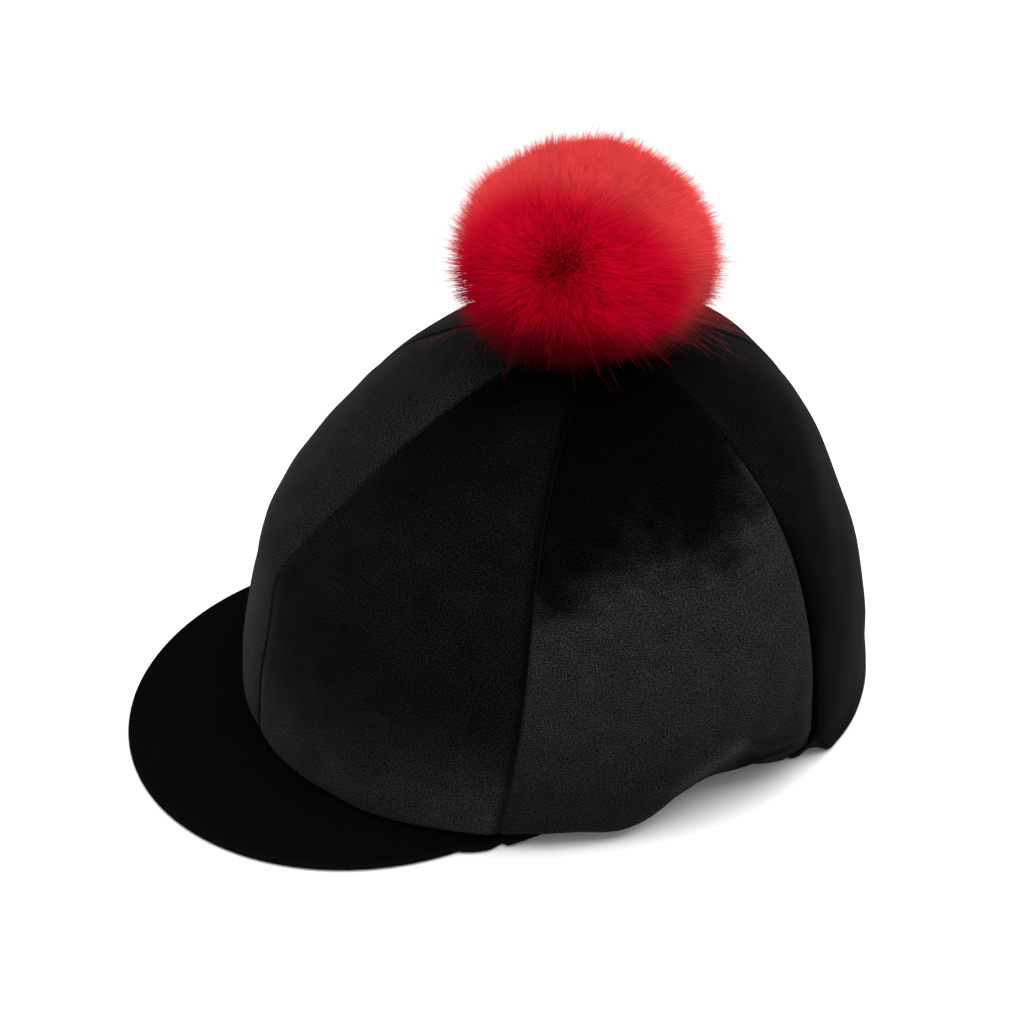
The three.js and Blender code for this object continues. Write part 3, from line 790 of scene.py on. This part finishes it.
core_faces += [[foot, int(ahead[i, -1]), int(at[i, -1])] for i in range(CORE_STEPS)]
ends = np.array(((0, -POMPOM_FORWARD, POMPOM_UP + CORE_RADIUS), (0, -POMPOM_FORWARD, NECK_FOOT_UP)))
core_points = np.concatenate((core_points.reshape(-1, 3), ends))
core = add_mesh("pompom_core", core_points, core_faces, backing_material())
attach(core, "root")
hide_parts("pompom")

# The fur
# Long straight faux-fur strands rooted all over the core, combed outwards from a whorl on its front left.
# They are clipped to a slightly flattened ball and lie together in small locks. All round but on the front
# left their tips are painted pale coral, as painted light where the light falls through them. The lowest
# spread over the crown, and a few long hairs stand out.
POMPOM_RADIUS = 54
WHORL_FROM_CENTRE = Vector((-2.5, -14.8, -11.7)) * MM
FUR_FROM_CENTRE = Vector((-0.5, -1.2, 0.9)) * MM
FUR_CLEARANCE = 1.3
ROOT_GRID = 25
pompom_centre = Vector((0, CROWN_LINE_BACK - POMPOM_FORWARD, POMPOM_UP)) * MM
STRAND_SIZES = {
    "Density": 12.4e6,
    "Seed": 1,
    "Centre": tuple(pompom_centre + FUR_FROM_CENTRE),
    "Whorl": tuple(pompom_centre + WHORL_FROM_CENTRE),
    "Reach": (POMPOM_RADIUS + 1.2) * MM,
    "Flatness": 1.30,
    "Flatness below": 0.98,
    "Flat side": (0.913, -0.408, 0.0),
    "Shortest": 0.85,
    "Longest": 1.10,
    "Evenness": 3.0,
    "Strand radius": 0.00018,
    "Lock size": 0.0055,
    "Unevenness": 0.30,
    "Fuller below": 0.18,
    "Lock pull": 0.12,
    "Stray": 0.14,
    "Curl": 0.045,
    "Lowest": -0.75,
    "Droop": 0.0010,
    "Combed side": (0.69, -0.31, 0.66),
    "Comb": (0.0006, -0.0038, -0.0023),
    "Lit side": (-0.75, 0.66, -0.03),
    "Shaded side": (0.45, -0.45, -0.77),
}
# The cosines, of the angle from its side or from upright, between which each effect grows.
NEAR_FLAT_SIDE = (0.2, 0.65)
LOWER_PART = (-0.45, 0.05)
NEAR_COMBED_SIDE = (0.78, 0.97)
NEAR_LIT_SIDE = (-0.44, -0.10)
NEAR_SHADED_SIDE = (0.52, 0.97)
UNDERSIDE = (-0.8, 0.0)
TOP = (0.4, 1.0)
UNDERSIDE_PAINTED_SHADE = 0.18
TOP_TONE = 0.68
SHADED_SIDE_PAINTED_SHADE = 0.54
COMBED_PAINTED_LIGHT = 0.25
TIP_LIGHT_UNEVENNESS = 0.09
TUFT_SCALE = 75.0


def new_size_tree(name, sizes):
    """A modifier's node tree with a named input for each size. Gives the tree and its inputs."""
    tree = bpy.data.node_groups.new(name, "GeometryNodeTree")
    add_socket(tree, "Geometry", "Geometry")
    kinds = {int: "Int", float: "Float", tuple: "Vector"}
    for size_name, value in sizes.items():
        add_socket(tree, size_name, kinds[type(value)]).default_value = value
    add_socket(tree, "Geometry", "Geometry", "OUTPUT")
    return tree, put(tree, "NodeGroupInput").outputs


def grow(base, name, tree, sizes):
    """Runs a tree over a base object with those sizes and keeps what grows as a plain mesh object."""
    modifier = base.modifiers.new(name, "NODES")
    modifier.node_group = tree
    for item in tree.interface.items_tree:
        if item.in_out == "INPUT" and item.name in sizes:
            modifier[item.identifier] = sizes[item.name]
    graph = bpy.context.evaluated_depsgraph_get()
    mesh = bpy.data.meshes.new_from_object(base.evaluated_get(graph), depsgraph=graph)
    base.modifiers.remove(modifier)
    mesh.polygons.foreach_set("use_smooth", np.ones(len(mesh.polygons), bool))
    grown = bpy.data.objects.new(name, mesh)
    scene.collection.objects.link(grown)
    return grown


def vector(tree, operation, *values):
    """A Vector Math node's result, which is a number for a dot product or a length."""
    node = put(tree, "ShaderNodeVectorMath", enumerate(values), operation=operation)
    return node.outputs["Value" if operation in ("DOT_PRODUCT", "LENGTH") else "Vector"]


def store(tree, geometry, name, value, kind="FLOAT"):
    """Keeps a value on each point under a name."""
    wires = {"Geometry": geometry, "Name": name, "Value": value}
    node = put(tree, "GeometryNodeStoreNamedAttribute", wires, data_type=kind, domain="POINT")
    return node.outputs["Geometry"]


def kept(tree, name, kind="FLOAT"):
    """A value that store kept."""
    return put(tree, "GeometryNodeInputNamedAttribute", {"Name": name}, data_type=kind).outputs["Attribute"]


def part_of(tree, way, axis):
    """A vector's X, Y or Z."""
    return put(tree, "ShaderNodeSeparateXYZ", {0: way}).outputs[axis]


def joined(tree, *parts):
    """A vector from its three parts."""
    return put(tree, "ShaderNodeCombineXYZ", enumerate(parts)).outputs["Vector"]


def random_between(tree, low, high, seed):
    node = put(tree, "FunctionNodeRandomValue", {2: low, 3: high, "Seed": seed}, data_type="FLOAT")
    return node.outputs[1]


def random_way(tree, seed):
    """A vector with each part between -1 and 1."""
    wires = {0: (-1.0, -1.0, -1.0), 1: (1.0, 1.0, 1.0), "Seed": seed}
    return put(tree, "FunctionNodeRandomValue", wires, data_type="FLOAT_VECTOR").outputs[0]


def map_range(tree, value, span, new_span):
    """A value moved smoothly from one span to another, and held at its ends."""
    names = ("Value", "From Min", "From Max", "To Min", "To Max")
    wires = zip(names, (value, *span, *new_span))
    return put(tree, "ShaderNodeMapRange", wires, interpolation_type="SMOOTHSTEP").outputs["Result"]


def strand_tree(side_bands, tip_share, material):
    """Grows tapered strands from a surface out to a flattened ball, away from the whorl, in locks.
    tip_share is a strand's thickness at its tip as a share of that at its root."""
    tree, size = new_size_tree("fur_strands", STRAND_SIZES)
    wires = {"Mesh": size["Geometry"], "Density": size["Density"], "Seed": size["Seed"]}
    roots = put(tree, "GeometryNodeDistributePointsOnFaces", wires).outputs["Points"]
    root = put(tree, "GeometryNodeInputPosition").outputs["Position"]
    # Low down the ball is full and hangs to the crown, but for one side where it is brushed flat.
    offset = vector(tree, "SUBTRACT", root, size["Centre"])
    root_way = vector(tree, "NORMALIZE", offset)
    towards_flat = vector(tree, "DOT_PRODUCT", root_way, size["Flat side"])
    not_flat = map_range(tree, towards_flat, NEAR_FLAT_SIDE, (1.0, 0.0))
    lower = map_range(tree, part_of(tree, root_way, "Z"), LOWER_PART, (1.0, 0.0))
    full = times(tree, not_flat, lower)
    # Strands point away from the whorl, each a little astray, and never lower than the lowest may.
    away = vector(tree, "NORMALIZE", vector(tree, "SUBTRACT", root, size["Whorl"]))
    astray = vector(tree, "ADD", away, scaled(tree, random_way(tree, size["Seed"]), size["Stray"]))
    level = maths(tree, "MAXIMUM", part_of(tree, astray, "Z"), size["Lowest"])
    levelled = joined(tree, part_of(tree, astray, "X"), part_of(tree, astray, "Y"), level)
    heading = vector(tree, "NORMALIZE", levelled)
    # The way from the root to the ball is the positive root of a quadratic, once heights are stretched so
    # that the flattened ball is round.
    less_flat = maths(tree, "SUBTRACT", size["Flatness below"], size["Flatness"])
    flatness = maths(tree, "MULTIPLY_ADD", full, less_flat, size["Flatness"])
    stretch = joined(tree, 1.0, 1.0, flatness)
    offset = vector(tree, "MULTIPLY", offset, stretch)
    way = vector(tree, "MULTIPLY", heading, stretch)
    a = vector(tree, "DOT_PRODUCT", way, way)
    b = vector(tree, "DOT_PRODUCT", offset, way)
    reach_squared = times(tree, size["Reach"], size["Reach"])
    c = maths(tree, "SUBTRACT", vector(tree, "DOT_PRODUCT", offset, offset), reach_squared)
    b_squared, a_times_c = times(tree, b, b), times(tree, a, c)
    under_root = maths(tree, "SUBTRACT", b_squared, a_times_c)
    root_of_it = maths(tree, "SQRT", maths(tree, "MAXIMUM", under_root, 0.0))
    to_ball = maths(tree, "DIVIDE", maths(tree, "SUBTRACT", root_of_it, b), a)
    locks_a_metre = maths(tree, "DIVIDE", 1.0, size["Lock size"])
    lock = put(tree, "ShaderNodeTexVoronoi", {"Vector": root, "Scale": locks_a_metre})
    lock_chance = part_of(tree, lock.outputs["Color"], "X")
    # Most strands are near the shortest, and a few reach out past them.
    chance = maths(tree, "POWER", random_between(tree, 0.0, 1.0, 5), size["Evenness"])
    spread = maths(tree, "SUBTRACT", size["Longest"], size["Shortest"])
    share = maths(tree, "MULTIPLY_ADD", chance, spread, size["Shortest"])
    share = maths(tree, "MULTIPLY_ADD", maths(tree, "SUBTRACT", lock_chance, 0.5), 0.05, share)
    tufts = maths(tree, "SUBTRACT", noise(tree, root, TUFT_SCALE, 1.0), 0.5)
    share = maths(tree, "MULTIPLY_ADD", tufts, size["Unevenness"], share)
    fuller = maths(tree, "MULTIPLY_ADD", full, size["Fuller below"], 1.0)
    length = times(tree, times(tree, to_ball, share), fuller)
    reach = scaled(tree, heading, length)
    # A lock's strands lean in to the strand that would stand at the lock's middle.
    lock_way = vector(tree, "NORMALIZE", vector(tree, "SUBTRACT", lock.outputs["Position"], size["Whorl"]))
    lock_tip = vector(tree, "ADD", lock.outputs["Position"], scaled(tree, lock_way, length))
    to_lock = vector(tree, "SUBTRACT", lock_tip, vector(tree, "ADD", root, reach))
    curl = scaled(tree, random_way(tree, 9), times(tree, length, size["Curl"]))
    sag = joined(tree, 0.0, 0.0, times(tree, size["Droop"], -1.0))
    bend = vector(tree, "ADD", scaled(tree, to_lock, size["Lock pull"]), vector(tree, "ADD", curl, sag))
    # The strands that stand out on one side are combed over, some more than others.
    towards_comb = vector(tree, "DOT_PRODUCT", heading, size["Combed side"])
    combed_and_painted_light = map_range(tree, towards_comb, NEAR_COMBED_SIDE, (0.0, 1.0))
    combed_and_painted_light = times(tree, combed_and_painted_light, random_between(tree, 0.5, 1.1, 13))
    bend = vector(tree, "ADD", bend, scaled(tree, size["Comb"], combed_and_painted_light))
    points = store(tree, roots, "bend", bend, "FLOAT_VECTOR")
    # How much painted light and painted shade each strand gets goes by where on the ball its tip is.
    tip_way = vector(tree, "NORMALIZE", vector(tree, "ADD", offset, scaled(tree, way, length)))
    towards_lit_side = vector(tree, "DOT_PRODUCT", tip_way, size["Lit side"])
    unevenness = random_between(tree, -TIP_LIGHT_UNEVENNESS, TIP_LIGHT_UNEVENNESS, 11)
    towards_lit_side = maths(tree, "ADD", towards_lit_side, unevenness)
    painted_tip_light = map_range(tree, towards_lit_side, NEAR_LIT_SIDE, (0.0, 1.0))
    points = store(tree, points, "painted_tip_light", painted_tip_light)
    tone = maths(tree, "MULTIPLY_ADD", lock_chance, 0.35, random_between(tree, 0.0, 0.65, 7))
    tone = maths(tree, "MULTIPLY_ADD", tone, 0.4, 0.72)
    tip_up = part_of(tree, tip_way, "Z")
    towards_shade = vector(tree, "DOT_PRODUCT", tip_way, size["Shaded side"])
    # Painted shade darkens the undersides and the side away from the light, the very top is darker too, and
    # painted light brightens the combed strands.
    for change in (
        map_range(tree, tip_up, UNDERSIDE, (UNDERSIDE_PAINTED_SHADE, 1.0)),
        map_range(tree, tip_up, TOP, (1.0, TOP_TONE)),
        map_range(tree, towards_shade, NEAR_SHADED_SIDE, (1.0, SHADED_SIDE_PAINTED_SHADE)),
        maths(tree, "MULTIPLY_ADD", combed_and_painted_light, COMBED_PAINTED_LIGHT, 1.0),
    ):
        tone = times(tree, tone, change)
    points = store(tree, points, "strand_tone_and_painted_shade", tone)
    wires = {"Vertices": 3, "Side Segments": side_bands, "Radius Top": tip_share, "Radius Bottom": 1.0}
    cone = put(tree, "GeometryNodeMeshCone", {**wires, "Depth": 1.0})
    up = part_of(tree, root, "Z")
    strand = store(tree, cone.outputs["Mesh"], "strand_share", up)
    turn = put(tree, "FunctionNodeAlignRotationToVector", {"Vector": heading}, axis="Z").outputs["Rotation"]
    thick = joined(tree, size["Strand radius"], size["Strand radius"], length)
    wires = {"Points": points, "Instance": strand, "Rotation": turn, "Scale": thick}
    strands = put(tree, "GeometryNodeInstanceOnPoints", wires).outputs["Instances"]
    strands = put(tree, "GeometryNodeRealizeInstances", {"Geometry": strands}).outputs["Geometry"]
    along = kept(tree, "strand_share")
    shift = scaled(tree, kept(tree, "bend", "FLOAT_VECTOR"), times(tree, along, along))
    bent = put(tree, "GeometryNodeSetPosition", {"Geometry": strands, "Offset": shift}).outputs["Geometry"]
    covered = put(tree, "GeometryNodeSetMaterial", {"Geometry": bent, "Material": material})
    put(tree, "NodeGroupOutput", {"Geometry": covered.outputs["Geometry"]})
    return tree


def fur_material(name, plain, lit_colours):
    """Strands that clear from root to tip, plain or painted paler where the light falls, by their painted
    tip light.
    plain and the lit colours each give the colours of a strand's root, middle and tip."""
    material, tree, shader = new_material(name)
    looks = []
    for root_colour, middle_colour, tip_colour in (plain, lit_colours):
        ramp = put(tree, "ShaderNodeValToRGB", {"Fac": attribute(tree, "strand_share")})
        ramp.color_ramp.elements[0].color = root_colour
        ramp.color_ramp.elements[1].color = tip_colour
        ramp.color_ramp.elements[1].position = 0.95
        ramp.color_ramp.elements.new(0.55).color = middle_colour
        looks.append(ramp.outputs["Color"])
    wires = {0: attribute(tree, "painted_tip_light"), 6: looks[0], 7: looks[1]}
    mixed = put(tree, "ShaderNodeMix", wires, data_type="RGBA").outputs[2]
    colour = scaled(tree, mixed, attribute(tree, "strand_tone_and_painted_shade"))
    tree.links.new(colour, shader.inputs["Base Color"])
    shader.inputs["Roughness"].default_value = 0.7
    shader.inputs["Specular IOR Level"].default_value = 0.02
    return material


def crown_share(points):
    """How far out from the middle of the crown's floor points lie, where 1 is on the crown's form."""
    azimuth = np.degrees(np.arctan2(points[:, 0], -points[:, 1]))
    out = np.hypot(points[:, 0], points[:, 1])
    level = np.zeros(len(points))
    plan = form_radius(azimuth, level)
    fullness = np.ones(len(points))
    for _ in range(4):
        latitude = np.degrees(np.arctan2(points[:, 2] / CROWN_HEIGHT, out / (plan * fullness)))
        latitude = np.clip(latitude, 0, 89)
        fullness = form_radius(azimuth, latitude) / (plan * np.cos(np.radians(latitude)))
    return np.hypot(points[:, 2] / CROWN_HEIGHT, out / (plan * fullness))


def lay_over_crown(fur):
    """Lifts any strand that dips into the crown until it lies along the cloth."""
    places = np.zeros(len(fur.data.vertices) * 3, np.float32)
    fur.data.vertices.foreach_get("co", places)
    places = places.reshape(-1, 3).astype(float) / MM
    places[:, 1] -= CROWN_LINE_BACK
    low = places[:, 2] < CROWN_HEIGHT + 2 * FUR_CLEARANCE
    share = crown_share(places[low])
    least = 1 + FUR_CLEARANCE / np.linalg.norm(places[low], axis=1)
    places[low] *= np.maximum(1, least / share)[:, None]
    places[:, 1] += CROWN_LINE_BACK
    fur.data.vertices.foreach_set("co", (places * MM).astype(np.float32).ravel())
    fur.data.update()


def root_surface(name, from_azimuth, to_azimuth, lowest, highest):
    """Part of the core's skin between two azimuths and two elevations, for strands to grow from."""
    round_it = np.linspace(from_azimuth, to_azimuth, ROOT_GRID)
    up_it = np.linspace(lowest, highest, ROOT_GRID)
    azimuth, elevation = np.meshgrid(round_it, up_it, indexing="ij")
    radius = CORE_RADIUS - 1
    out = radius * np.cos(np.radians(elevation))
    line = np.stack((out, POMPOM_UP + radius * np.sin(np.radians(elevation))), -1)
    points = around(azimuth, line) - np.array((0, POMPOM_FORWARD, 0))
    faces = grid_faces(np.arange(ROOT_GRID * ROOT_GRID).reshape(ROOT_GRID, ROOT_GRID))
    return add_mesh(name, points.reshape(-1, 3), faces, fur_red)


CRIMSON = ((0.60, 0.0, 0.016, 1), (0.62, 0.0, 0.020, 1), (0.67, 0.001, 0.026, 1))
# The coral colours are painted light, for the tips on the lit side.
LIT_CORAL = ((0.50, 0.0, 0.011, 1), (0.67, 0.010, 0.026, 1), (0.75, 0.070, 0.068, 1))
fur_red = fur_material("fur_red", CRIMSON, LIT_CORAL)
short_strands = strand_tree(1, 0.0, fur_red)
guard_hairs = strand_tree(1, 0.4, fur_red)
long_strands = strand_tree(5, 0.4, fur_red)
# How the fringe, the long single hairs and the guard hairs differ from the short strands.
LONGER_FUR = {
    "Density": (0.9e6, 0.9e5, 0.6e6),
    "Reach": (0.074, 0.070, 0.0602),
    "Flatness": (1.0, 1.2, 1.3),
    "Shortest": (0.45, 0.80, 0.86),
    "Longest": (1.0, 1.04, 1.12),
    "Evenness": (1.0, 1.0, 2.2),
    "Strand radius": (0.000045, 0.000045, 0.00008),
    "Lock pull": (0.1, 0.0, 0.0),
    "Stray": (0.3, 0.45, 0.25),
    "Lowest": (-0.10, -0.35, -0.75),
    "Droop": (0.0020, 0.0030, 0.0010),
    "Seed": (5, 6, 7),
}
fringe, single_hairs, guard = ({name: row[kind] for name, row in LONGER_FUR.items()} for kind in range(3))
# Each part's name, its tree, its sizes, and the azimuths and elevations between which its roots lie.
quarters = enumerate(("front_left", "back_left", "back_right", "front_right"))
fur_parts = [
    (f"fur_{quarter}", short_strands, {"Seed": turn + 1}, 90 * turn, 90 * turn + 90, BALL_FOOT, 90)
    for turn, quarter in quarters
]
fur_parts.append(("fur_fringe", long_strands, fringe, 130, 346, -60, -20))
fur_parts.append(("fur_long_hairs", long_strands, single_hairs, 0, 360, -28, 90))
fur_parts.append(("fur_guard_hairs", guard_hairs, guard, 0, 360, -12, 90))
for name, tree, sizes, from_azimuth, to_azimuth, lowest, highest in fur_parts:
    roots = root_surface("fur_roots", from_azimuth, to_azimuth, lowest, highest)
    fur = grow(roots, name, tree, {**STRAND_SIZES, **sizes})
    bpy.data.objects.remove(roots)
    lay_over_crown(fur)
    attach(fur, "root")
